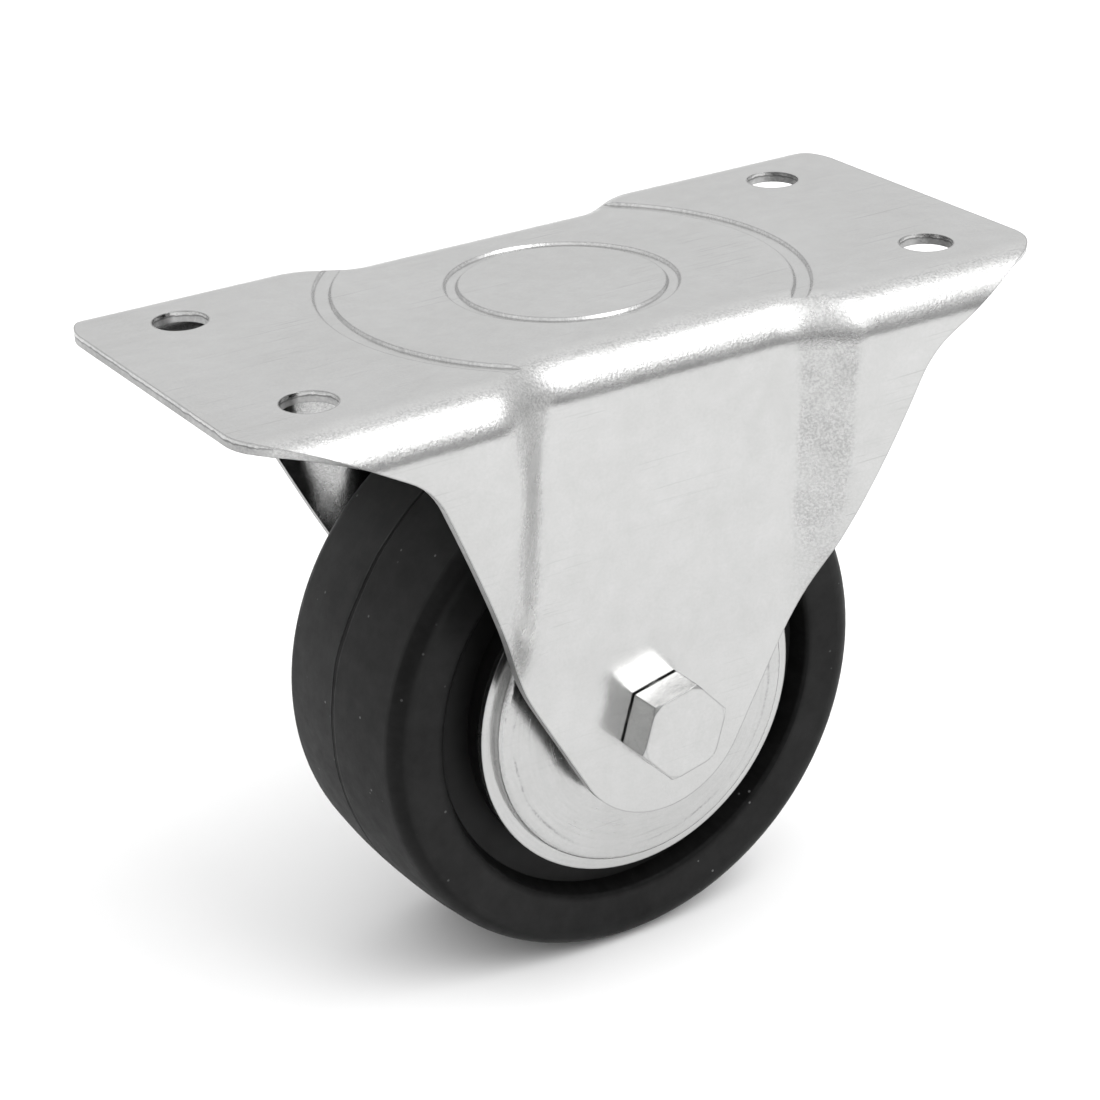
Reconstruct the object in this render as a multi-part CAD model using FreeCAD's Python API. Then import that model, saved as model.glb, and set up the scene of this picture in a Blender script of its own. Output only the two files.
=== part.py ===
import FreeCAD, Part
import math
import os

from FreeCAD import Vector

# Fixed castor with a rubber wheel. Millimetres.
# Origin: centre of the mounting plate's top face. X: rolling direction. Y: axle. Z: up.

# Mounting plate
plate_length = 121.0
plate_corner_r = 8.0
corner_lead = 3.95           # corner rounding starts this far inside the start of the fold
hole_end_distance = 13.0     # hole centres from the plate's ends
hole_spacing_y = 34.9
hole_r = 3.7

# Folded sheet
sheet = 1.5
fold_r = 6.4                 # outer radius of the fold between plate and leg
panel_reach = 26.2           # outer face of the recessed middle panel, just under the fold
web_reach = 30.6             # outer face of the webs each side of it, just under the fold
axle_reach = 22.1            # outer face of both where they meet beside the axle
panel_half_width = 18.4      # where the middle panel ends and its side step begins
step_width = 9.0             # run of that step along X
corner_run = 1.8             # how much longer the step is at the fold, at each end
corner_fall = 0.12           # share of the height over which that fades out
axle_land = 5.7              # height above the axle at which the leg turns parallel
cut_margin = 1.5             # how far a cutting shape runs past what it cuts

# Fall of the leg from the fold to the axle land: share of the height, and share of the
# side reach that the webs and the middle panel still have there
web_fall = ((0.0, 1.0), (0.12, 0.985), (0.26, 0.925), (0.54, 0.68),
            (0.7, 0.44), (0.84, 0.19), (0.93, 0.05), (1.0, 0.0))
panel_fall = ((0.0, 1.0), (0.12, 0.925), (0.26, 0.8), (0.54, 0.49),
              (0.7, 0.31), (0.84, 0.14), (0.93, 0.04), (1.0, 0.0))
step_count = 10              # steps in which a side step is laid out
fold_stations = 8            # steps in which the fold's cut follows the blank's edge

# Leg outline
axle_drop = 56.0             # mounting face to axle
tip_r = 13.9
leg_taper_deg = 24.5         # leg edge from the vertical
tip_taper_deg = 29.5         # the same just above the round tip
waist_rise = 9.5             # height above the axle at which the two meet
waist_r = 60.0
shoulder_slope = 0.56        # fall of the blank's shoulder for each unit of run
shoulder_r = 12.0            # hollow rounding between shoulder and leg edge

# Pressed rings in the plate
ring_depth = 0.4
ring_slope = 0.3             # run of each side wall of a ring
inner_ring_r = 15.75
inner_ring_width = 1.9
outer_ring_r = 33.1
outer_ring_width = 2.5

# Axle bolt and lock nut
bolt_r = 4.0
bolt_fit = 0.10
head_flats = 12.0
head_height = 5.0
head_face_r = 6.35           # flat circle left by the chamfer on the head's corners
hex_chamfer_deg = 30.0
head_turn_deg = 12.5         # turn of the head about the axle
washer_face = 0.3
washer_face_r = 5.7
bolt_past_nut = 1.5
bolt_end_chamfer = 0.8
nut_flats = 13.0
nut_hex_height = 5.6
nut_face_r = 6.3
nut_collar_height = 2.4
nut_collar_r = 5.9
nut_lip = 0.5                # collar turned in over the insert
insert_wall = 1.2
insert_sink = 0.1            # seat of the insert below the top of the hexagon
thread_gap = 0.04

# Bearing
bush_r = 6.0
bush_chamfer = 0.4
roller_r = 1.5
roller_count = 8
roller_length = 31.0
running_gap = 0.05
cage_gap = 0.35              # cage clear of the bush and of the sleeve
pocket_gap = 0.06
sleeve_wall = 1.5
sleeve_setback = 0.6         # sleeve's end inside the hub's end
washer_thick = 1.0
washer_wall = 5.5
side_gap = 0.3               # wheel hub and cage clear of the washers

# Wheel
wheel_r = 38.5
tyre_half_width = 15.1
tyre_crown = 0.9             # fall of the tread from its middle to its shoulder
tyre_shoulder_r = 2.7
tyre_side_taper = 0.5        # side face falls in towards the recess
core_r = 28.85
recess_rim_r = 29.9          # mouth of the recess round the cover
recess_floor = 11.9          # floor of the recess from the wheel's middle plane
recess_edge_r = 0.7
key_height = 2.6             # ridge of the core sunk in the tyre
key_half_width = 5.0
hub_wall = 1.6               # hub nose outside the bearing sleeve
boss_wall = 4.4
core_web_half = 3.5
land_outer_r = 24.6
land_wall = 2.2
core_rib_count = 6
core_rib = 2.2
rib_half = 12.0
press_gap = 0.02

# Pressed covers on the wheel
cover_thick = 1.0
cover_flange_r = 25.0
cover_pan_r = 23.1
cover_face = 17.7            # outer face of the pan from the wheel's middle plane
cover_flange_face = 16.1
cover_edge_r = 0.8
cover_back_edge_r = 0.45
cover_lip = 1.3              # turned collar at the cover's centre hole
cover_lip_wall = 0.8

# Worked out from the sizes above
half_length = plate_length / 2
hole_spacing_x = plate_length - 2 * hole_end_distance
fold_start = web_reach - fold_r
plate_side_start = fold_start - corner_lead
leg_inner = axle_reach - sheet
bush_bore_r = bolt_r + bolt_fit
roller_ring_r = bush_r + running_gap + roller_r
sleeve_bore_r = roller_ring_r + roller_r + running_gap
sleeve_r = sleeve_bore_r + sleeve_wall
hub_nose_r = sleeve_r + press_gap + hub_wall
hub_half = leg_inner - washer_thick - side_gap
thread_bore_r = bolt_r + thread_gap
insert_start = axle_reach + nut_hex_height - insert_sink
insert_end = axle_reach + nut_hex_height + nut_collar_height - nut_lip
land_top = cover_flange_face - cover_thick

ORIGIN = Vector(0, 0, 0)
X_DIR = Vector(1, 0, 0)
Y_DIR = Vector(0, 1, 0)
Z_DIR = Vector(0, 0, 1)
AXLE = Vector(0, 0, -axle_drop)


def line(start, end):
    return Part.LineSegment(start, end).toShape()


def arc(start, middle, end):
    return Part.Arc(start, middle, end).toShape()


def turned(points):
    """Solid of revolution about the axle from (radius, y) corners"""
    corners = [Vector(r, y, 0) for r, y in points]
    solid = Part.Face(Part.makePolygon(corners + corners[:1])).revolve(ORIGIN, Y_DIR, 360)
    solid.translate(AXLE)
    return solid


def fillet_arc(before, corner, after, radius):
    """Tangent points and middle of the rounding of one corner, all in one plane"""
    back = (before - corner).normalize()
    ahead = (after - corner).normalize()
    half = back.getAngle(ahead) / 2
    reach = radius / math.tan(half)
    centre = corner + (back + ahead).normalize() * (radius / math.sin(half))
    middle = centre + (corner - centre).normalize() * radius
    return corner + back * reach, middle, corner + ahead * reach


def hexagon(flats, y_from, y_to, turn_deg=0.0):
    """Hexagonal bar along the axle between two Y planes"""
    radius = flats / math.sqrt(3)
    corners = []
    for k in range(6):
        angle = math.radians(60 * k + turn_deg)
        corners.append(Vector(radius * math.cos(angle), y_from, radius * math.sin(angle)))
    bar = Part.Face(Part.makePolygon(corners + corners[:1])).extrude(Y_DIR * (y_to - y_from))
    bar.translate(AXLE)
    return bar


# The bracket

def step_share(x, first, level):
    """0 on the middle panel and 1 on the webs, at one share of the leg's height"""
    lead = corner_run * max(0, 1 - level / corner_fall) ** 2
    run = (x - first + lead) / (step_width + 2 * lead)
    run = min(max(run, 0), 1)
    return run ** 3 * (10 - 15 * run + 6 * run * run)


def leg_section(x, first, inset):
    """Space under the sheet in the plane X = x, from the middle to one leg.

    first is where the side step begins below the fold; inset 0 is the outer face of the
    sheet, and inset equal to the sheet is its inner face.
    """
    top = panel_reach + (web_reach - panel_reach) * step_share(x, first, 0)
    radius = fold_r - inset
    centre_y = top - fold_r
    fall = axle_drop - axle_land - fold_r
    points = []
    for (level, web), (_, panel) in zip(web_fall, panel_fall):
        web_y = (web_reach - axle_reach) * web
        panel_y = (panel_reach - axle_reach) * panel
        y = axle_reach + panel_y + (web_y - panel_y) * step_share(x, first, level) - inset
        points.append(Vector(x, -y, -fold_r - fall * level))
    leg = Part.BSplineCurve()
    levels = [level for level, _ in web_fall]
    leg.interpolate(Points=points, Parameters=levels, InitialTangent=-Z_DIR, FinalTangent=-Z_DIR)
    bottom = -axle_drop - tip_r - fold_r
    start = Vector(x, 0, -inset)
    fold_top = Vector(x, -centre_y, -inset)
    diagonal = radius / math.sqrt(2)
    fold_middle = Vector(x, -centre_y - diagonal, -fold_r + diagonal)
    leg_end = Vector(x, points[-1].y, bottom)
    inside_end = Vector(x, 0, bottom)
    return Part.Wire([
        line(start, fold_top),
        arc(fold_top, fold_middle, points[0]),
        leg.toShape(),
        line(points[-1], leg_end),
        line(leg_end, inside_end),
        line(inside_end, start),
    ])


def under_sheet(inset):
    """Space under one quarter of the sheet: middle panel, side step and web"""
    step_angle = math.atan2(web_reach - panel_reach, step_width)
    first = panel_half_width + inset * math.tan(step_angle / 2)
    start = first - corner_run
    run = step_width + 2 * corner_run
    panel = Part.Face(leg_section(0, first, inset)).extrude(X_DIR * start)
    web = leg_section(start + run, first, inset)
    web = Part.Face(web).extrude(X_DIR * (half_length + cut_margin - start - run))
    sections = []
    for k in range(step_count + 1):
        sections.append(leg_section(start + run * k / step_count, first, inset))
    step = Part.makeLoft(sections, True, False)
    return panel.fuse([step, web])


def blank_edge(y_flat):
    """Half length of the flat blank at a distance from its centre line"""
    centre_x = half_length - plate_corner_r
    slope_angle = math.atan(shoulder_slope)
    turn_y = plate_side_start + plate_corner_r * math.cos(slope_angle)
    turn_x = centre_x + plate_corner_r * math.sin(slope_angle)
    if y_flat <= plate_side_start:
        return half_length
    if y_flat <= turn_y:
        rise = y_flat - plate_side_start
        return centre_x + math.sqrt(plate_corner_r ** 2 - rise ** 2)
    return turn_x - (y_flat - turn_y) / shoulder_slope


def plate_corner_cut():
    """What the blank's rounded corner leaves off the flat plate"""
    top = cut_margin
    reach = half_length + 2 * cut_margin
    start = Vector(half_length, -plate_side_start, top)
    end = Vector(blank_edge(fold_start), -fold_start, top)
    half_y = (plate_side_start + fold_start) / 2
    middle = Vector(blank_edge(half_y), -half_y, top)
    inside = Vector(half_length, cut_margin, top)
    outline = Part.Wire([
        line(inside, start),
        arc(start, middle, end),
        Part.makePolygon([end, Vector(reach, -fold_start, top), Vector(reach, cut_margin, top), inside]),
    ])
    return Part.Face(outline).extrude(-Z_DIR * (sheet + 2 * cut_margin))


def fold_cut():
    """What the blank's edge leaves off the fold, cut square to the sheet"""
    inner = fold_r - sheet - cut_margin
    outer = fold_r + cut_margin
    reach = half_length + 2 * cut_margin
    sections = []
    for k in range(fold_stations + 1):
        angle = math.pi / 2 * k / fold_stations
        x = blank_edge(fold_start + fold_r * angle)
        corners = []
        for px, r in ((x, inner), (reach, inner), (reach, outer), (x, outer)):
            y = -fold_start - r * math.sin(angle)
            z = -fold_r + r * math.cos(angle)
            corners.append(Vector(px, y, z))
        sections.append(Part.makePolygon(corners + corners[:1]))
    return Part.makeLoft(sections, True, True)


def leg_edge_cut():
    """What the leg outline leaves off below the fold: shoulder, two tapers and round tip"""
    y_out = -web_reach - cut_margin
    taper = math.radians(leg_taper_deg)
    low_taper = math.radians(tip_taper_deg)
    along = Vector(math.sin(taper), 0, math.cos(taper))
    tip_end = Vector(tip_r * math.cos(low_taper), y_out, -axle_drop - tip_r * math.sin(low_taper))
    waist_x = (tip_r + waist_rise * math.sin(low_taper)) / math.cos(low_taper)
    waist = Vector(waist_x, y_out, -axle_drop + waist_rise)
    tip_half = (math.pi / 2 + low_taper) / 2
    tip_middle = Vector(tip_r * math.cos(tip_half), y_out, -axle_drop - tip_r * math.sin(tip_half))
    tip_low = Vector(0, y_out, -axle_drop - tip_r)
    shoulder = Vector(blank_edge(fold_start + fold_r * math.pi / 2), y_out, -fold_r)
    run = Vector(-1, 0, -shoulder_slope)
    # Corner where the shoulder line meets the leg edge
    rise = (shoulder - waist).cross(run).y / along.cross(run).y
    corner = waist + along * rise
    sweep_top, sweep_middle, sweep_low = fillet_arc(shoulder, corner, waist, shoulder_r)
    waist_top, waist_middle, waist_low = fillet_arc(corner, waist, tip_end, waist_r)
    reach = half_length + 2 * cut_margin
    bottom = -axle_drop - tip_r - fold_r - cut_margin
    outline = Part.Wire([
        line(shoulder, sweep_top),
        arc(sweep_top, sweep_middle, sweep_low),
        line(sweep_low, waist_top),
        arc(waist_top, waist_middle, waist_low),
        line(waist_low, tip_end),
        arc(tip_end, tip_middle, tip_low),
        Part.makePolygon([tip_low, Vector(0, y_out, bottom), Vector(reach, y_out, bottom),
                          Vector(reach, y_out, -fold_r), shoulder]),
    ])
    return Part.Face(outline).extrude(Y_DIR * (web_reach + cut_margin))


def pressed_ring(radius, width, z_top, lift):
    """Shallow ring with sloping walls, pressed down from z_top and open for lift above it"""
    corners = [
        Vector(radius, 0, z_top),
        Vector(radius - ring_slope, 0, z_top - ring_depth),
        Vector(radius - width + ring_slope, 0, z_top - ring_depth),
        Vector(radius - width, 0, z_top),
    ]
    if lift > 0:
        corners.append(Vector(radius - width, 0, z_top + lift))
        corners.append(Vector(radius, 0, z_top + lift))
    return Part.Face(Part.makePolygon(corners + corners[:1])).revolve(ORIGIN, Z_DIR, 360)


def make_bracket():
    quarter = under_sheet(0).cut(under_sheet(sheet))
    quarter = quarter.cut([plate_corner_cut(), fold_cut(), leg_edge_cut()])
    half = quarter.fuse(quarter.mirror(ORIGIN, X_DIR))
    bracket = half.fuse(half.mirror(ORIGIN, Y_DIR)).removeSplitter()

    flat_half = panel_reach - fold_r
    zone_corner = Vector(-half_length, -flat_half, -axle_drop)
    flat_zone = Part.makeBox(plate_length, 2 * flat_half, axle_drop, zone_corner)
    for radius, width in ((inner_ring_r, inner_ring_width), (outer_ring_r, outer_ring_width)):
        bracket = bracket.fuse(pressed_ring(radius, width, -sheet, 0).common(flat_zone))
        bracket = bracket.cut(pressed_ring(radius, width, 0, cut_margin))

    for x in (-hole_spacing_x / 2, hole_spacing_x / 2):
        for y in (-hole_spacing_y / 2, hole_spacing_y / 2):
            hole = Part.makeCylinder(hole_r, sheet + 2 * cut_margin, Vector(x, y, -sheet - cut_margin))
            bracket = bracket.cut(hole)
    axle_hole = Part.makeCylinder(bush_bore_r, 4 * axle_reach, AXLE - Y_DIR * 2 * axle_reach, Y_DIR)
    return bracket.cut(axle_hole)


# Axle bolt, nut and bearing

def hex_chamfer(flats, face_r):
    """Height of the chamfer at a hexagon's corners"""
    return (flats / math.sqrt(3) - face_r) * math.tan(math.radians(hex_chamfer_deg))


def make_bolt():
    under_head = -axle_reach
    hex_start = under_head - washer_face
    front = hex_start - head_height
    corner_r = head_flats / math.sqrt(3)
    end = axle_reach + nut_hex_height + nut_collar_height + bolt_past_nut
    chamfer = hex_chamfer(head_flats, head_face_r)
    head = hexagon(head_flats, front, hex_start, head_turn_deg)
    rounding = turned([(0, front), (head_face_r, front), (corner_r, front + chamfer),
                       (corner_r, hex_start), (0, hex_start)])
    shank = turned([(0, hex_start), (washer_face_r, hex_start), (washer_face_r, under_head),
                    (bolt_r, under_head), (bolt_r, end - bolt_end_chamfer),
                    (bolt_r - bolt_end_chamfer, end), (0, end)])
    return head.common(rounding).fuse(shank).removeSplitter()


def make_nut():
    start = axle_reach
    hex_end = start + nut_hex_height
    end = hex_end + nut_collar_height
    corner_r = nut_flats / math.sqrt(3)
    chamfer = hex_chamfer(nut_flats, nut_face_r)
    body = hexagon(nut_flats, start, hex_end)
    rounding = turned([(0, start), (nut_face_r, start), (corner_r, start + chamfer),
                       (corner_r, hex_end - chamfer), (nut_face_r, hex_end), (0, hex_end)])
    collar = turned([(0, insert_start), (nut_collar_r, insert_start), (nut_collar_r, end - nut_lip),
                     (nut_collar_r - nut_lip, end), (0, end)])
    seat_r = thread_bore_r + insert_wall + press_gap
    lip_r = seat_r - nut_lip
    bore = turned([(0, start - cut_margin), (thread_bore_r, start - cut_margin),
                   (thread_bore_r, insert_start), (seat_r, insert_start), (seat_r, insert_end),
                   (lip_r, insert_end), (lip_r, end + cut_margin), (0, end + cut_margin)])
    return body.common(rounding).fuse(collar).cut(bore).removeSplitter()


def make_nut_insert():
    outer = thread_bore_r + insert_wall
    return turned([(thread_bore_r, insert_start), (outer, insert_start),
                   (outer, insert_end), (thread_bore_r, insert_end)])


def make_bush():
    edge = leg_inner - bush_chamfer
    end_r = bush_r - bush_chamfer
    return turned([(bush_bore_r, -leg_inner), (end_r, -leg_inner), (bush_r, -edge),
                   (bush_r, edge), (end_r, leg_inner), (bush_bore_r, leg_inner)])


def make_washer(side):
    inner = bush_r + running_gap
    outer = bush_r + washer_wall
    face = side * leg_inner
    back = side * (leg_inner - washer_thick)
    return turned([(inner, face), (outer, face), (outer, back), (inner, back)])


def make_sleeve():
    half = hub_half - sleeve_setback
    return turned([(sleeve_bore_r, -half), (sleeve_r, -half), (sleeve_r, half), (sleeve_bore_r, half)])


def roller_angle(k):
    return 2 * math.pi * k / roller_count


def roller_bar(radius, half, k):
    angle = roller_angle(k)
    centre = Vector(roller_ring_r * math.cos(angle), -half, roller_ring_r * math.sin(angle))
    return Part.makeCylinder(radius, 2 * half, AXLE + centre, Y_DIR)


def make_cage():
    inner = bush_r + cage_gap
    outer = sleeve_bore_r - cage_gap
    ring = turned([(inner, -hub_half), (outer, -hub_half), (outer, hub_half), (inner, hub_half)])
    pockets = []
    for k in range(roller_count):
        pockets.append(roller_bar(roller_r + pocket_gap, roller_length / 2 + pocket_gap, k))
    return ring.cut(pockets)


# Wheel

def make_core():
    boss = hub_nose_r + boss_wall
    bore = sleeve_r + press_gap
    boss_top = cover_face - cover_thick - press_gap
    land_inner = land_outer_r - land_wall
    side = [(bore, hub_half), (hub_nose_r, hub_half), (hub_nose_r, boss_top), (boss, boss_top),
            (boss, core_web_half), (land_inner, core_web_half), (land_inner, land_top),
            (land_outer_r, land_top), (land_outer_r, recess_floor), (core_r, recess_floor),
            (core_r, key_half_width), (core_r + key_height, key_half_width)]
    core = turned(side + [(r, -y) for r, y in reversed(side)])
    ribs = []
    length = land_inner + land_wall / 2 - hub_nose_r
    for k in range(core_rib_count):
        rib = Part.makeBox(length, 2 * rib_half, core_rib, Vector(hub_nose_r, -rib_half, -core_rib / 2))
        rib.rotate(ORIGIN, Y_DIR, 360 * k / core_rib_count)
        rib.translate(AXLE)
        ribs.append(rib)
    return core.fuse(ribs).removeSplitter()


def make_tyre():
    """Rubber ring with a crowned tread, round shoulders and tapered side faces"""
    key_r = core_r + key_height
    shoulder = wheel_r - tyre_crown
    side = tyre_half_width
    rim_y = side - tyre_side_taper
    points = {
        "crown": Vector(wheel_r, 0, 0),
        "shoulder": Vector(shoulder, side, 0),
        "rim": Vector(recess_rim_r, rim_y, 0),
        "floor": Vector(core_r, recess_floor, 0),
        "key_out": Vector(core_r, key_half_width, 0),
        "key_in": Vector(key_r, key_half_width, 0),
        "key_mid": Vector(key_r, 0, 0),
    }
    tread_quarter = Vector(wheel_r - tyre_crown / 4, side / 2, 0)
    side_half = Vector((shoulder + recess_rim_r) / 2, (side + rim_y) / 2, 0)
    round_top, round_mid, round_low = fillet_arc(
        tread_quarter, points["shoulder"], side_half, tyre_shoulder_r)
    edge_top, edge_mid, edge_low = fillet_arc(
        side_half, points["rim"], points["floor"], recess_edge_r)
    tread = Part.BSplineCurve()
    tread.interpolate(Points=[points["crown"], tread_quarter, round_top], InitialTangent=Y_DIR,
                      FinalTangent=(points["shoulder"] - tread_quarter).normalize())
    half = Part.Wire([
        tread.toShape(),
        arc(round_top, round_mid, round_low),
        line(round_low, edge_top),
        arc(edge_top, edge_mid, edge_low),
        line(edge_low, points["floor"]),
        line(points["floor"], points["key_out"]),
        line(points["key_out"], points["key_in"]),
        line(points["key_in"], points["key_mid"]),
        line(points["key_mid"], points["crown"]),
    ])
    front = Part.Face(half).revolve(ORIGIN, Y_DIR, 360)
    tyre = front.fuse(front.mirror(ORIGIN, Y_DIR)).removeSplitter()
    tyre.translate(AXLE)
    return tyre


def make_cover(side):
    """Pressed steel cover: rim flange, round step, flat pan and a collar on the hub nose"""
    hole = hub_nose_r + press_gap
    collar = hole + cover_lip_wall
    collar_top = cover_face + cover_lip
    back = cover_face - cover_thick
    pan_back_r = cover_pan_r - cover_thick
    step_foot = Vector(cover_pan_r, cover_flange_face, 0)
    back_foot = Vector(pan_back_r, land_top, 0)
    collar_foot = Vector(collar, cover_face, 0)
    hole_back = Vector(hole, back, 0)
    edge = fillet_arc(collar_foot, Vector(cover_pan_r, cover_face, 0), step_foot, cover_edge_r)
    back_edge = fillet_arc(back_foot, Vector(pan_back_r, back, 0), hole_back, cover_back_edge_r)
    outline = Part.Wire([
        Part.makePolygon([hole_back, Vector(hole, collar_top, 0), Vector(collar, collar_top, 0),
                          collar_foot, edge[0]]),
        arc(*edge),
        Part.makePolygon([edge[2], step_foot, Vector(cover_flange_r, cover_flange_face, 0),
                          Vector(cover_flange_r, land_top, 0), back_foot, back_edge[0]]),
        arc(*back_edge),
        line(back_edge[2], hole_back),
    ])
    cover = Part.Face(outline).revolve(ORIGIN, Y_DIR, 360)
    if side < 0:
        cover = cover.mirror(ORIGIN, Y_DIR)
    cover.translate(AXLE)
    return cover


def save(shape, name):
    solids = shape.Solids
    if len(solids) == 1:
        shape = solids[0]
    shape.exportStep("parts/" + name + ".step")


def main():
    os.makedirs("parts", exist_ok=True)
    save(make_bracket(), "bracket")
    save(make_bolt(), "axle_bolt")
    save(make_nut(), "axle_nut")
    save(make_nut_insert(), "nut_insert")
    save(make_bush(), "axle_bush")
    save(make_washer(-1), "front_washer")
    save(make_washer(1), "rear_washer")
    save(make_cover(-1), "front_cover")
    save(make_cover(1), "rear_cover")
    save(make_tyre(), "tyre")
    save(make_core(), "wheel_core")
    save(make_sleeve(), "bearing_sleeve")
    save(make_cage(), "roller_cage")
    for k in range(roller_count):
        save(roller_bar(roller_r, roller_length / 2, k), "roller_%d" % (k + 1))


main()
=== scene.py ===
import bpy
from mathutils import Matrix, Vector

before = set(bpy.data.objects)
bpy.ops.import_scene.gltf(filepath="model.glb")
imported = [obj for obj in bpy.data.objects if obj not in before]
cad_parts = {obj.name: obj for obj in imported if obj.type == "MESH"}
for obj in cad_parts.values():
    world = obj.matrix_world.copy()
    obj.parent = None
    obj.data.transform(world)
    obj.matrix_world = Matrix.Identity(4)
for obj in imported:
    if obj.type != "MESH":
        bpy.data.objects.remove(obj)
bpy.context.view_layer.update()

MM = 0.001
MM_PER_M = 1000.0
AXLE_DROP = 56.0
ROLLERS = 8

# Most values of a noise lie in this span
NOISE_SPAN = (0.3, 0.7)

# Sockets of the node that mixes two colours
MIX_SHARE = 0
MIX_FIRST = 6
MIX_SECOND = 7
MIX_RESULT = 2


# Node trees

class Graph:
    """A small helper that adds nodes to one tree and links them by their inputs"""

    def __init__(self, tree):
        self.tree = tree

    def add(self, kind, inputs=None, **settings):
        node = self.tree.nodes.new(kind)
        for key, value in settings.items():
            setattr(node, key, value)
        for key, value in (inputs or {}).items():
            socket = node.inputs[key]
            if isinstance(value, bpy.types.NodeSocket):
                self.tree.links.new(value, socket)
            else:
                socket.default_value = value
        return node

    def math(self, operation, first, second=0.0, clamp=False):
        node = self.add("ShaderNodeMath", {0: first, 1: second}, operation=operation, use_clamp=clamp)
        return node.outputs[0]

    def times(self, first, second, clamp=False):
        return self.math("MULTIPLY", first, second, clamp)

    def plus(self, first, second):
        return self.math("ADD", first, second)

    def minus(self, first, second):
        return self.math("SUBTRACT", first, second)

    def absolute(self, value):
        return self.math("ABSOLUTE", value)

    def vector(self, operation, first, second):
        return self.add("ShaderNodeVectorMath", {0: first, 1: second}, operation=operation).outputs[0]

    def dot(self, first, second):
        node = self.add("ShaderNodeVectorMath", {0: first, 1: second}, operation="DOT_PRODUCT")
        return node.outputs["Value"]

    def split(self, vector):
        return self.add("ShaderNodeSeparateXYZ", {0: vector}).outputs

    def remap(self, value, low, high, to_low=0.0, to_high=1.0):
        node = self.add("ShaderNodeMapRange", {"Value": value, "From Min": low, "From Max": high,
                                               "To Min": to_low, "To Max": to_high})
        return node.outputs[0]

    def noise(self, vector, scale, detail=2.0, roughness=0.5):
        node = self.add("ShaderNodeTexNoise", {"Vector": vector, "Scale": scale, "Detail": detail,
                                               "Roughness": roughness})
        return node.outputs["Fac"]

    def stretch(self, vector, scale, rotation=(0.0, 0.0, 0.0)):
        node = self.add("ShaderNodeMapping", {"Vector": vector, "Scale": scale, "Rotation": rotation})
        return node.outputs[0]

    def rgb(self, value):
        return self.add("ShaderNodeCombineColor", {0: value, 1: value, 2: value}).outputs[0]

    def mix(self, share, first, second):
        sockets = {MIX_SHARE: share, MIX_FIRST: first, MIX_SECOND: second}
        return self.add("ShaderNodeMix", sockets, data_type="RGBA").outputs[MIX_RESULT]

    def bevel(self, radius, samples):
        return self.add("ShaderNodeBevel", {"Radius": radius}, samples=samples).outputs[0]

    def bump(self, height, strength, distance, normal=None):
        inputs = {"Height": height, "Strength": strength, "Distance": distance}
        if normal is not None:
            inputs["Normal"] = normal
        return self.add("ShaderNodeBump", inputs).outputs[0]


def grey(value, tint=(1.0, 1.0, 1.0)):
    return (value * tint[0], value * tint[1], value * tint[2], 1.0)


def new_material(name):
    """Empty material with its graph, its shader and object coordinates in millimetres"""
    material = bpy.data.materials.new(name)
    material.use_nodes = True
    tree = material.node_tree
    tree.nodes.clear()
    graph = Graph(tree)
    output = graph.add("ShaderNodeOutputMaterial")
    shader = graph.add("ShaderNodeBsdfPrincipled")
    tree.links.new(shader.outputs[0], output.inputs[0])
    place = graph.add("ShaderNodeTexCoord").outputs["Object"]
    place = graph.vector("MULTIPLY", place, (MM_PER_M, MM_PER_M, MM_PER_M))
    return material, graph, shader, place


def connect(graph, shader, **inputs):
    names = {"color": "Base Color", "rough": "Roughness", "normal": "Normal"}
    for key, socket in inputs.items():
        graph.tree.links.new(socket, shader.inputs[names[key]])


def own_normal(graph):
    """X, Y and Z of the normal in the object's own directions"""
    return graph.split(graph.add("ShaderNodeTexCoord").outputs["Normal"])


def from_axle(graph, place):
    """Place as seen from the axle"""
    return graph.vector("ADD", place, (0.0, 0.0, AXLE_DROP))


def axle_radius(graph, place):
    flat = graph.vector("MULTIPLY", from_axle(graph, place), (1.0, 0.0, 1.0))
    return graph.add("ShaderNodeVectorMath", {0: flat}, operation="LENGTH").outputs["Value"]


def axle_angle(graph, place):
    around = graph.split(from_axle(graph, place))
    return graph.math("ARCTAN2", around["X"], around["Z"])


# Zinc plate and steel

# Tints of the light and the dark clouds, and how coarse and fine clouds share the tone
LIGHT_TINT = (1.0, 1.0, 0.995)
DARK_TINT = (1.0, 1.0, 0.99)
CLOUD_SHARE = 0.6
FINE_CLOUD_SHARE = 0.4

# Tones of the marks, each as a share of the dark cloud
SPECK_TONE = 0.50
SCRATCH_TONE = 0.60
# The edge tone is painted shade: a dark line along every edge
EDGE_SHADE_TONE = 0.40
TORN_TONE = 0.62
CUT_LINE_TONE = 0.30
TURNING_TONE = 0.60
RUBBED_TONE = 0.35

# How strongly each mark covers the clouds
SPECKS_FLAT = 0.08
# In the bends the dark specks cover more: real grain, and partly painted shade on the bent sheet
BENT_SPECKS_AND_SHADE = 0.50
SCRATCH_COVER = 0.5
# How strongly the painted edge shade covers the clouds
EDGE_SHADE_COVER = 0.75
CUT_LINE_COVER = 0.8
TURNING_COVER = 0.10
RUBBED_COVER = 0.6

# What a bend, a torn face and the turning marks add to the roughness
BEND_ROUGHER = 0.10
TORN_ROUGHER = 0.22
TURNING_ROUGHER = 0.06

# Relief: heights in millimetres and strengths
GRAIN_HEIGHT = 0.03
COARSE_HEIGHT = 0.028
COARSE_STRENGTH = 0.55
WAVE_HEIGHT = 0.4
WAVE_STRENGTH = 0.12

# Flat sheet and full bend, as the larger share of the normal along Y or Z
BEND_FROM = 0.997
BEND_FULL = 0.91

# Painted edge shade: an edge starts and is full where the rounded normal leaves the true one; reach in edge
# radii
EDGE_FROM = 0.995
EDGE_FULL = 0.90
EDGE_REACH = 3.0
EDGE_SAMPLES = 4

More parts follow.
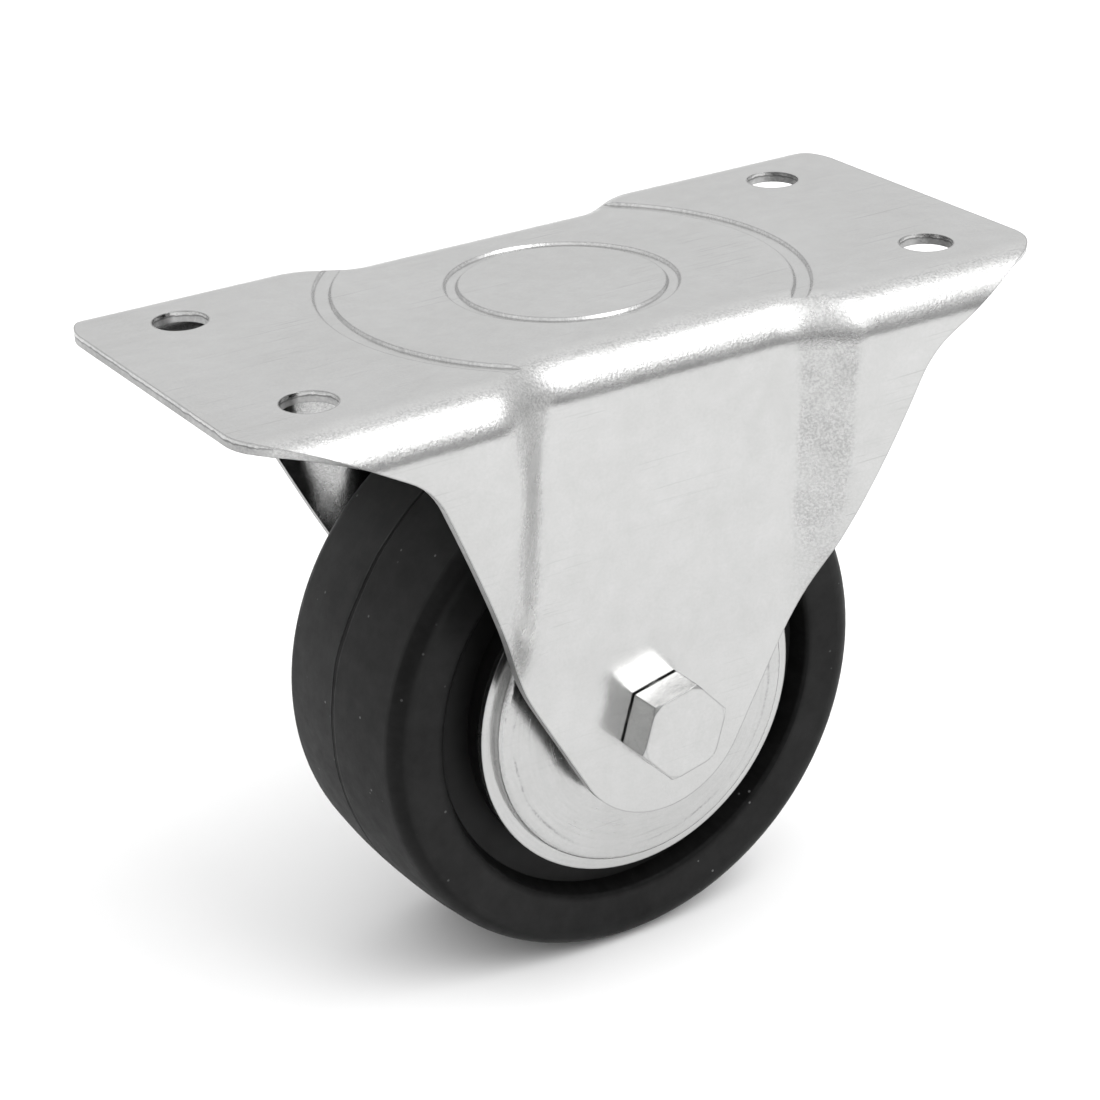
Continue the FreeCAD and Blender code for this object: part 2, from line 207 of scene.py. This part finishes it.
# Hairlines: turn of each family and its stretch
HAIRLINES = ((0.35, (0.05, 5.0, 5.0)), (1.25, (0.04, 4.0, 4.0)), (-0.6, (0.06, 6.0, 6.0)))

# Depths on the plate's cut face in millimetres: end of the bright rim, dark line, lower end
RIM_DEPTH = (0.42, 0.52)
LINE_DEPTH = (0.60, 0.75)
PLATE_DEPTH = (1.60, 1.75)
CUT_WOBBLE = 0.12

# Depth below which the cut faces of the legs begin
LEG_DEPTH = (7.0, 9.0)

# A face is a cut one where its normal has little left across the sheet: start and full
CUT_FACING = (0.35, 0.20)

# Turning marks per millimetre of radius and per radian
TRACK_ACROSS = 2.4
TRACK_ALONG = 2.0

# Rubbed ring on the covers: its radius, how far it wanders and its half width, in millimetres
RING_RADIUS = 21.0
RING_WANDER = 0.25
RING_HALF = (0.26, 0.08)


def bends(graph):
    """1 where the sheet is bent, 0 where it is flat: the object's own normal decides"""
    normal = own_normal(graph)
    flat = graph.math("MAXIMUM", graph.absolute(normal["Y"]), graph.absolute(normal["Z"]))
    share = graph.add("ShaderNodeMapRange", {"Value": flat, "From Min": BEND_FROM, "From Max": BEND_FULL},
                      interpolation_type="SMOOTHSTEP")
    return share.outputs[0]


def painted_edge_shade(graph, width):
    """1 on a narrow strip along every edge, where the painted shade goes: there the rounded normal leaves
    the true one
    """
    rounded = graph.bevel(width * MM, EDGE_SAMPLES)
    true = graph.add("ShaderNodeNewGeometry").outputs["Normal"]
    return graph.remap(graph.dot(rounded, true), EDGE_FROM, EDGE_FULL)


def scratches(graph, place):
    """Thin hairlines in three directions, only here and there"""
    total = None
    for turn, scale in HAIRLINES:
        lines = graph.noise(graph.stretch(place, scale, (0.0, turn, turn)), scale=1.0, detail=1.0)
        lines = graph.remap(lines, 0.70, 0.76)
        total = lines if total is None else graph.math("MAXIMUM", total, lines)
    where = graph.remap(graph.noise(place, scale=0.06), 0.48, 0.60)
    return graph.times(total, where, clamp=True)


def zinc_color(graph, place, specks, bend, light, dark, edge):
    """Cloudy tone with specks that thicken in the bends as partly painted shade, hairlines and a painted
    shade line along the edges
    """
    cloud = graph.times(graph.noise(place, scale=0.045, detail=5.0, roughness=0.6), CLOUD_SHARE)
    fine = graph.times(graph.noise(place, scale=0.35, detail=4.0, roughness=0.65), FINE_CLOUD_SHARE)
    tone = graph.remap(graph.plus(cloud, fine), 0.36, 0.64)
    color = graph.mix(tone, grey(dark, DARK_TINT), grey(light, LIGHT_TINT))
    # Bends get more dark specks: grain, and partly painted shade
    share = graph.plus(graph.times(bend, BENT_SPECKS_AND_SHADE), SPECKS_FLAT)
    color = graph.mix(graph.times(specks, share), color, grey(dark * SPECK_TONE))
    lines = graph.times(scratches(graph, place), SCRATCH_COVER)
    color = graph.mix(lines, color, grey(dark * SCRATCH_TONE))
    # Painted shade: a dark line along every edge
    rim = graph.times(painted_edge_shade(graph, EDGE_REACH * edge), EDGE_SHADE_COVER)
    return graph.mix(rim, color, grey(dark * EDGE_SHADE_TONE))


def zinc_relief(graph, place, specks, bend, grain, edge):
    """Softened edges, fine grain that turns coarse in the bends, and a faint waviness"""
    fine = graph.noise(place, scale=2.2, detail=3.0, roughness=0.7)
    normal = graph.bump(fine, grain, GRAIN_HEIGHT * MM, graph.bevel(edge * MM, EDGE_SAMPLES))
    normal = graph.bump(graph.times(specks, bend), COARSE_STRENGTH, COARSE_HEIGHT * MM, normal)
    waves = graph.noise(place, scale=0.25, detail=3.0)
    return graph.bump(waves, WAVE_STRENGTH, WAVE_HEIGHT * MM, normal)


def zinc(name, light, dark, rough, grain, edge, bent, finish=None):
    """Zinc plate or bright steel: tones, span of roughness, grain, edge radius in mm, coarseness of bends
    and how much painted shade darkens them
    """
    material, graph, shader, place = new_material(name)
    shader.inputs["Metallic"].default_value = 1.0
    specks = graph.remap(graph.noise(place, scale=2.8, detail=3.0, roughness=0.75), 0.40, 0.60, 1.0, 0.0)
    uneven = graph.remap(graph.noise(place, scale=0.14, detail=4.0, roughness=0.6), 0.36, 0.60, 0.35, 1.0)
    bend = graph.times(bends(graph), graph.times(uneven, bent))
    color = zinc_color(graph, place, specks, bend, light, dark, edge)
    patches = graph.noise(place, scale=0.12, detail=5.0, roughness=0.7)
    roughness = graph.remap(patches, *NOISE_SPAN, *rough)
    roughness = graph.plus(roughness, graph.times(bend, BEND_ROUGHER))
    normal = zinc_relief(graph, place, specks, bend, grain, edge)
    if finish is not None:
        color, roughness = finish(graph, place, color, roughness, dark)
    connect(graph, shader, color=color, rough=roughness, normal=normal)
    return material


def sheared(graph, place, color, roughness, dark):
    """Cut faces of the blank: bright upper rim, a dark uneven line and a dull torn zone below it"""
    normal = own_normal(graph)
    height = graph.split(place)["Z"]
    upright = graph.remap(graph.absolute(normal["Z"]), *CUT_FACING)
    cut = graph.times(upright, graph.remap(height, -PLATE_DEPTH[1], -PLATE_DEPTH[0]))
    wobble = graph.noise(place, scale=0.8, detail=3.0)
    wobble = graph.remap(wobble, *NOISE_SPAN, -CUT_WOBBLE, CUT_WOBBLE)
    down = graph.plus(height, wobble)
    torn = graph.times(graph.remap(down, -RIM_DEPTH[0], -RIM_DEPTH[1]), cut)
    line = graph.times(graph.remap(down, -LINE_DEPTH[1], -LINE_DEPTH[0]), torn)
    side = graph.remap(graph.absolute(normal["Y"]), *CUT_FACING)
    side = graph.times(side, graph.remap(height, -LEG_DEPTH[0], -LEG_DEPTH[1]))
    torn = graph.math("MAXIMUM", torn, side)
    streaks = graph.noise(place, scale=1.2, detail=3.0, roughness=0.7)
    streaks = graph.remap(streaks, 0.35, 0.65, 0.25, 0.75)
    color = graph.mix(graph.times(torn, streaks), color, grey(dark * TORN_TONE))
    color = graph.mix(graph.times(line, CUT_LINE_COVER), color, grey(dark * CUT_LINE_TONE))
    return color, graph.plus(roughness, graph.times(torn, TORN_ROUGHER))


def spun(graph, place, color, roughness, dark):
    """Turning marks of a pressed cover, and one thin rubbed ring near the rim of its pan"""
    radius = axle_radius(graph, place)
    along = graph.times(axle_angle(graph, place), TRACK_ALONG)
    track = graph.add("ShaderNodeCombineXYZ", {0: graph.times(radius, TRACK_ACROSS), 1: along})
    rings = graph.noise(track.outputs[0], scale=1.0, detail=3.0, roughness=0.6)
    rings = graph.remap(rings, 0.35, 0.65)
    color = graph.mix(graph.times(rings, TURNING_COVER), color, grey(dark * TURNING_TONE))
    patches = graph.noise(place, scale=0.10)
    wander = graph.remap(patches, *NOISE_SPAN, -RING_WANDER, RING_WANDER)
    away = graph.absolute(graph.minus(graph.plus(radius, wander), RING_RADIUS))
    worn = graph.remap(graph.noise(place, scale=3.2, roughness=0.7), 0.42, 0.62, 0.15, 1.0)
    worn = graph.times(worn, graph.remap(patches, 0.40, 0.56))
    rubbed = graph.times(graph.remap(away, *RING_HALF), worn)
    color = graph.mix(graph.times(rubbed, RUBBED_COVER), color, grey(dark * RUBBED_TONE))
    return color, graph.plus(roughness, graph.times(rings, TURNING_ROUGHER))


# Rubber and plastic

# Tones of the rubber
RUBBER_TONE = 0.0022
SIDE_TONE = 0.013
# The tread tone is dull bloom and partly painted sheen
TREAD_BLOOM_AND_SHEEN_TONE = 0.018
# The far half of the tread is painted lighter
FAR_TREAD_TONE = 0.026
# The recess tone is painted shade deep in the tyre's recess
RECESS_SHADE_TONE = 0.0012
FLOW_TONE = 0.012
DUST_TONE = 0.25
# The groove tone is painted shade in the moulding groove
GROOVE_SHADE_TONE = 0.001
# The lip tone is a painted highlight on the lip beside the moulding line
LIP_HIGHLIGHT_TONE = 0.05

# How strongly each of them covers what lies below; the bloom's cover varies between two values
SIDE_COVER = (0.25, 1.0)
TREAD_BLOOM_AND_SHEEN_COVER = (0.65, 1.0)
FAR_TREAD_COVER = 0.5
RECESS_SHADE_COVER = 0.8
FLOW_COVER = 0.25
DUST_COVER = 0.4
GROOVE_SHADE_COVER = 0.9
LIP_HIGHLIGHT_COVER = 0.6

# Shine: roughness, what tread and recess add to it, and the specular level
RUBBER_ROUGH = (0.40, 0.54)
TREAD_ROUGHER = 0.15
RUBBER_SPECULAR = 0.13

# Zones of the tyre: radii and heights along the axle in millimetres, shares of the normal along it
TREAD_RADIUS = (35.0, 36.0)
RECESS_RADIUS = (30.9, 30.2)
FAR_TREAD = (0.6, 1.0)
SIDE_FACING = (0.90, 0.98)
TREAD_FACING = (0.34, 0.14)

# Dust: one speck per cell, its size as a share of the cell
DUST_CELLS = 0.45
DUST_SIZE = (0.10, 0.06)

# Moulding line round the tread, in millimetres; its flank is a share of its half width
LINE_WANDER = 1.2
LINE_HALF = (0.30, 0.65)
LINE_FLANK = 0.45
LIP_AT = 0.55
LIP_HALF = (0.22, 0.06)

# Relief of rubber and plastic: heights in millimetres and strengths
SKIN_HEIGHT = 0.05
SKIN_STRENGTH = 0.25
GROOVE_HEIGHT = 0.30
GROOVE_STRENGTH = 0.9
PLASTIC_HEIGHT = 0.04
PLASTIC_STRENGTH = 0.2

# How far a plastic's roughness departs from its middle
PLASTIC_SPREAD = 0.06


def dust(graph, place):
    """Single pale specks, in some places only"""
    points = graph.add("ShaderNodeTexVoronoi", {"Vector": place, "Scale": DUST_CELLS}, feature="F1")
    speck = graph.remap(points.outputs["Distance"], *DUST_SIZE)
    return graph.times(speck, graph.remap(graph.noise(place, scale=0.2), 0.5, 0.62), clamp=True)


def moulding_line(graph, place, tread, bloom):
    """Open groove that wanders round the tread, and the lip beside it, painted pale as a highlight"""
    wobble = graph.remap(graph.noise(place, scale=0.05), 0.0, 1.0, -LINE_WANDER, LINE_WANDER)
    from_line = graph.plus(graph.split(place)["Y"], wobble)
    half = graph.remap(graph.noise(place, scale=0.045), 0.40, 0.62, *LINE_HALF)
    line = graph.remap(graph.math("DIVIDE", graph.absolute(from_line), half), 1.0, LINE_FLANK)
    lip = graph.remap(graph.absolute(graph.minus(from_line, LIP_AT)), *LIP_HALF)
    lip = graph.times(lip, graph.times(tread, graph.remap(bloom, 0.2, 0.8)))
    return graph.times(line, tread), lip


def rubber_color(graph, place, bloom, sideways, tread, recess):
    """Black with a dull bloom on the side, dull bloom and painted sheen on the tread, a far half of the
    tread painted lighter, painted shade in the recess, flow marks and dust
    """
    side = graph.times(graph.remap(sideways, *SIDE_FACING), graph.remap(bloom, 0.0, 1.0, *SIDE_COVER))
    color = graph.mix(side, grey(RUBBER_TONE), grey(SIDE_TONE))
    # Tread: dull bloom, and partly painted sheen that lightens it
    dull = graph.times(tread, graph.remap(bloom, 0.0, 1.0, *TREAD_BLOOM_AND_SHEEN_COVER))
    color = graph.mix(dull, color, grey(TREAD_BLOOM_AND_SHEEN_TONE))
    # The far half of the tread is painted lighter
    far = graph.times(tread, graph.remap(graph.split(place)["Y"], *FAR_TREAD))
    color = graph.mix(graph.times(far, FAR_TREAD_COVER), color, grey(FAR_TREAD_TONE))
    # Painted shade in the recess
    color = graph.mix(graph.times(recess, RECESS_SHADE_COVER), color, grey(RECESS_SHADE_TONE))
    flow = graph.noise(graph.stretch(place, (0.9, 0.12, 0.9)), scale=1.0, detail=3.0, roughness=0.6)
    flow = graph.remap(flow, 0.40, 0.70)
    color = graph.mix(graph.times(flow, FLOW_COVER), color, grey(FLOW_TONE))
    return graph.mix(graph.times(dust(graph, place), DUST_COVER), color, grey(DUST_TONE))


def rubber(name):
    """Matt black rubber: dull bloom and painted sheen on the tread, dust specks, painted shade in the
    recess, and an uneven moulding line round it with painted shade in its groove and a painted highlight on
    its lip
    """
    material, graph, shader, place = new_material(name)
    shader.inputs["Specular IOR Level"].default_value = RUBBER_SPECULAR
    radius = axle_radius(graph, place)
    sideways = graph.absolute(own_normal(graph)["Y"])
    bloom = graph.remap(graph.noise(place, scale=0.12, detail=6.0, roughness=0.7), 0.34, 0.66)
    tread = graph.times(graph.remap(sideways, *TREAD_FACING), graph.remap(radius, *TREAD_RADIUS))
    recess = graph.remap(radius, *RECESS_RADIUS)
    color = rubber_color(graph, place, bloom, sideways, tread, recess)
    patches = graph.noise(place, scale=0.3, detail=4.0, roughness=0.7)
    roughness = graph.remap(patches, *NOISE_SPAN, *RUBBER_ROUGH)
    duller = graph.times(graph.math("MAXIMUM", recess, tread), TREAD_ROUGHER)
    roughness = graph.plus(roughness, duller)
    line, lip = moulding_line(graph, place, tread, bloom)
    # Painted shade in the moulding groove
    color = graph.mix(graph.times(line, GROOVE_SHADE_COVER), color, grey(GROOVE_SHADE_TONE))
    # Painted highlight on the lip
    color = graph.mix(graph.times(lip, LIP_HIGHLIGHT_COVER), color, grey(LIP_HIGHLIGHT_TONE))
    skin = graph.noise(place, scale=1.6, detail=4.0, roughness=0.6)
    relief = graph.bump(skin, SKIN_STRENGTH, SKIN_HEIGHT * MM)
    relief = graph.bump(graph.minus(1.0, line), GROOVE_STRENGTH, GROOVE_HEIGHT * MM, relief)
    connect(graph, shader, color=color, rough=roughness, normal=relief)
    return material


def plastic(name, low, high, rough, gloss):
    """Moulded plastic with a faint flow pattern"""
    material, graph, shader, place = new_material(name)
    shader.inputs["Specular IOR Level"].default_value = gloss
    flow = graph.remap(graph.noise(place, scale=0.15, detail=4.0), *NOISE_SPAN)
    color = graph.mix(flow, grey(low), grey(high))
    patches = graph.noise(place, scale=0.6, detail=3.0)
    roughness = graph.remap(patches, *NOISE_SPAN, rough - PLASTIC_SPREAD, rough + PLASTIC_SPREAD)
    skin = graph.noise(place, scale=1.5, detail=3.0)
    normal = graph.bump(skin, PLASTIC_STRENGTH, PLASTIC_HEIGHT * MM)
    connect(graph, shader, color=color, rough=roughness, normal=normal)
    return material


# Which piece has which material

def dress(material, *nodes):
    for node in nodes:
        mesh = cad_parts[node].data
        mesh.materials.clear()
        mesh.materials.append(material)


sheet_zinc = zinc("sheet_zinc", light=0.545, dark=0.495, rough=(0.17, 0.24), grain=0.35, edge=0.12,
                  bent=1.0, finish=sheared)
cover_zinc = zinc("cover_zinc", light=0.525, dark=0.48, rough=(0.16, 0.23), grain=0.25, edge=0.12,
                  bent=0.45, finish=spun)
bolt_zinc = zinc("bolt_zinc", light=0.545, dark=0.485, rough=(0.14, 0.22), grain=0.25, edge=0.16,
                 bent=0.30)
ground_steel = zinc("ground_steel", light=0.60, dark=0.52, rough=(0.22, 0.34), grain=0.15, edge=0.08,
                    bent=0.0)
tyre_rubber = rubber("tyre_rubber")
# Black plastic, darkened beyond its own black as painted shade for the deep recess
core_black = plastic("core_black", low=0.002, high=0.006, rough=0.5, gloss=0.18)
nylon_white = plastic("nylon_white", low=0.55, high=0.70, rough=0.45, gloss=0.5)

dress(sheet_zinc, "bracket")
dress(bolt_zinc, "axle_bolt", "axle_nut")
dress(cover_zinc, "front_cover", "rear_cover")
dress(ground_steel, "axle_bush", "front_washer", "rear_washer", "bearing_sleeve")
dress(ground_steel, *["roller_%d" % (k + 1) for k in range(ROLLERS)])
dress(tyre_rubber, "tyre")
dress(core_black, "wheel_core")
dress(nylon_white, "roller_cage", "nut_insert")


# Floor, light and camera

# Floor under the wheel, in metres, and its paper
FLOOR_Z = -94.5 * MM
FLOOR_REACH = 6.0
FLOOR_TONES = (0.88, 0.90)
FLOOR_ROUGH = 0.9
FLOOR_SPECULAR = 0.1

# Brightness of the room, as seen in reflections; the camera itself sees white
WORLD_LOW = 0.32
WORLD_BACK = 0.90
WORLD_TOP = 1.38
CAMERA_WHITE = 1.0

# The viewer's side runs into the far side between these two slopes
AWAY_FROM_VIEWER = (0.53, 0.85, 0.0)
FAR_SIDE = (-0.30, 0.40)

# Heights between which the far and the near side reach their full brightness
BACK_RISE = (0.20, 0.95)
FRONT_RISE = (0.05, 0.60)

# Dark patch low on the viewer's left: where it lies, how far it spreads, where it ends above
DARK_SIDE = (-0.63, -0.77, 0.0)
DARK_SPREAD = (0.60, 0.92)
DARK_SHARE = 0.85
DARK_END = (0.25, 0.10)

# Long soft box above the viewer's right shoulder: middle, long direction, half sizes as slopes
BOX_MIDDLE = Vector((0.36, -0.50, 0.79)).normalized()
BOX_ALONG = Vector((0.28, 0.91, 0.29))
BOX_HALF = (0.46, 0.22)
BOX_RIM = (1.35, 0.65)
BOX_BRIGHT = 4.8

# Camera of the photograph: place, aim and lens
CAMERA_AT = Vector((-0.19969, -0.31659, 0.13441))
CAMERA_RIGHT = Vector((0.84214, -0.53831, -0.03189))
CAMERA_UP = Vector((0.25136, 0.33953, 0.90639))
CAMERA_LENS = 97.9
CAMERA_SENSOR = 36.0
CAMERA_SHIFT = (0.0032, 0.0014)
CAMERA_NEAR = 0.01


def make_floor():
    mesh = bpy.data.meshes.new("floor")
    corners = [(x * FLOOR_REACH, y * FLOOR_REACH, FLOOR_Z) for x, y in ((-1, -1), (1, -1), (1, 1), (-1, 1))]
    mesh.from_pydata(corners, [], [(0, 1, 2, 3)])
    floor = bpy.data.objects.new("floor", mesh)
    bpy.context.scene.collection.objects.link(floor)
    material, graph, shader, place = new_material("floor_paper")
    clouds = graph.remap(graph.noise(place, scale=0.02), *NOISE_SPAN)
    color = graph.mix(clouds, grey(FLOOR_TONES[0]), grey(FLOOR_TONES[1]))
    shader.inputs["Roughness"].default_value = FLOOR_ROUGH
    shader.inputs["Specular IOR Level"].default_value = FLOOR_SPECULAR
    connect(graph, shader, color=color)
    mesh.materials.append(material)


def soft_box(graph, toward):
    """1 inside an oval patch of the sky, falling softly to 0 at its rim"""
    across = BOX_MIDDLE.cross(BOX_ALONG).normalized()
    along = across.cross(BOX_MIDDLE)
    squares = []
    for direction, half in ((along, BOX_HALF[0]), (across, BOX_HALF[1])):
        share = graph.times(graph.dot(toward, direction), 1.0 / half)
        squares.append(graph.times(share, share))
    inside = graph.remap(graph.plus(*squares), *BOX_RIM)
    facing = graph.remap(graph.dot(toward, BOX_MIDDLE), 0.0, 0.1)
    return graph.times(inside, facing, clamp=True)


def room_light(graph, toward):
    """Bright ceiling, pale wall behind the object, dark low down on the viewer's left"""
    height = graph.split(toward)["Z"]
    behind = graph.remap(graph.dot(toward, AWAY_FROM_VIEWER), *FAR_SIDE)
    back = graph.remap(height, *BACK_RISE, WORLD_BACK, WORLD_TOP)
    front = graph.remap(height, *FRONT_RISE, WORLD_LOW, WORLD_TOP)
    shade = graph.remap(graph.dot(toward, DARK_SIDE), *DARK_SPREAD, 0.0, DARK_SHARE)
    shade = graph.times(shade, graph.remap(height, *DARK_END))
    front = graph.times(front, graph.minus(1.0, shade))
    return graph.mix(behind, graph.rgb(front), graph.rgb(back))


def make_world():
    """Studio room with one soft box; the camera itself sees plain white"""
    world = bpy.data.worlds.new("studio")
    world.use_nodes = True
    world.node_tree.nodes.clear()
    graph = Graph(world.node_tree)
    output = graph.add("ShaderNodeOutputWorld")
    toward = graph.add("ShaderNodeTexCoord").outputs["Generated"]
    box = graph.rgb(graph.times(soft_box(graph, toward), BOX_BRIGHT))
    color = graph.vector("ADD", room_light(graph, toward), box)
    seen = graph.add("ShaderNodeLightPath").outputs["Is Camera Ray"]
    color = graph.mix(seen, color, grey(CAMERA_WHITE))
    background = graph.add("ShaderNodeBackground", {"Color": color, "Strength": 1.0})
    graph.tree.links.new(background.outputs[0], output.inputs[0])
    bpy.context.scene.world = world


def make_camera():
    data = bpy.data.cameras.new("camera")
    data.lens = CAMERA_LENS
    data.sensor_width = CAMERA_SENSOR
    data.shift_x, data.shift_y = CAMERA_SHIFT
    data.clip_start = CAMERA_NEAR
    camera = bpy.data.objects.new("camera", data)
    backward = CAMERA_RIGHT.cross(CAMERA_UP)
    turn = Matrix((CAMERA_RIGHT, CAMERA_UP, backward)).transposed()
    camera.matrix_world = Matrix.Translation(CAMERA_AT) @ turn.to_4x4()
    bpy.context.scene.collection.objects.link(camera)
    bpy.context.scene.camera = camera


make_floor()
make_world()
make_camera()
bpy.context.scene.view_settings.view_transform = "Standard"
